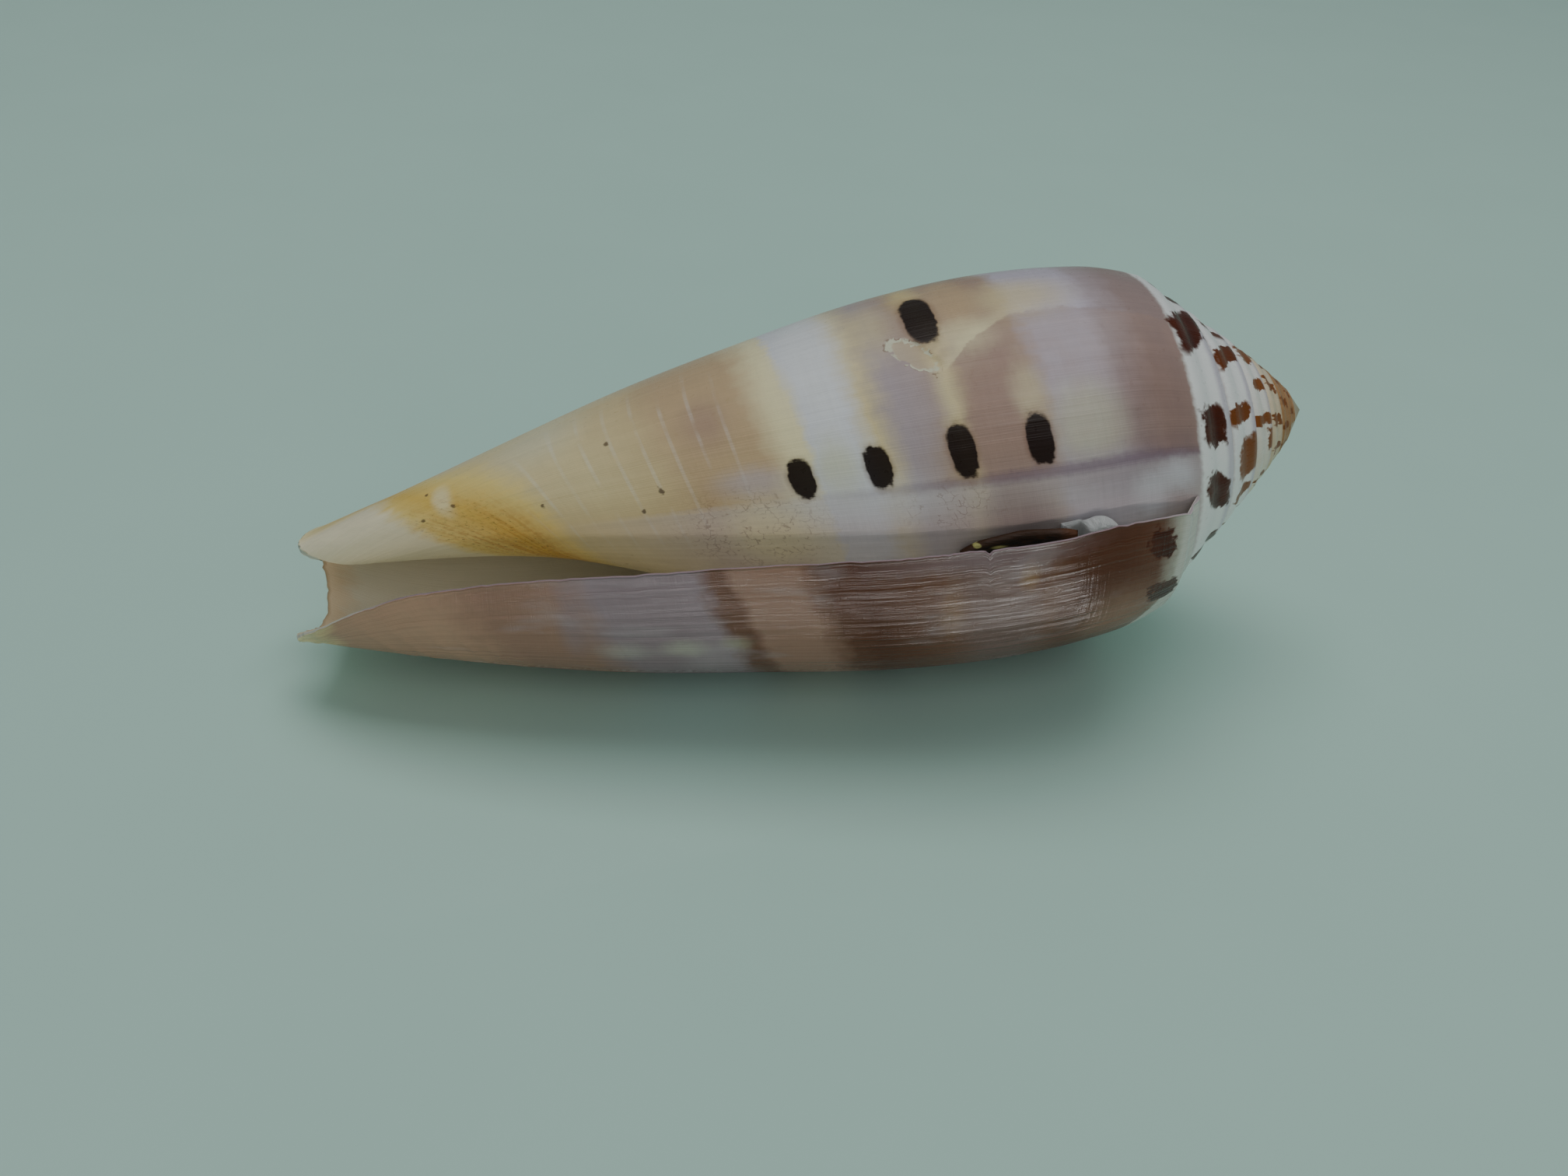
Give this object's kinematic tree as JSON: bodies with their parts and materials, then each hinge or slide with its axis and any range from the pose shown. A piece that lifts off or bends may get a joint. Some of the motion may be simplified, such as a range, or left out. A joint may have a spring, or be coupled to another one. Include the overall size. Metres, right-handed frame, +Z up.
{
  "type": "cone shell",
  "caption": "Long narrow cone-shaped sea shell lying on its back, with a short stepped spire, a slit aperture and a plate and cotton plug in it.",
  "frame": {"origin": "centre of the bounding box's underside, on the surface the shell lies on", "axes": "+X along the shell towards the spire, -Y towards the aperture's side, +Z up"},
  "size_m": [0.0738, 0.0304, 0.0303],
  "materials": {
    "shell": "smooth polished shell, brown and ochre with pale bands and brown spots",
    "operculum": "dark horny plate, translucent orange brown at one end",
    "cotton": "white cotton wool"
  },
  "bodies": {
    "root": {"shell": "shell", "operculum": "operculum", "cotton_plug": "cotton"}
  },
  "joints": []
}
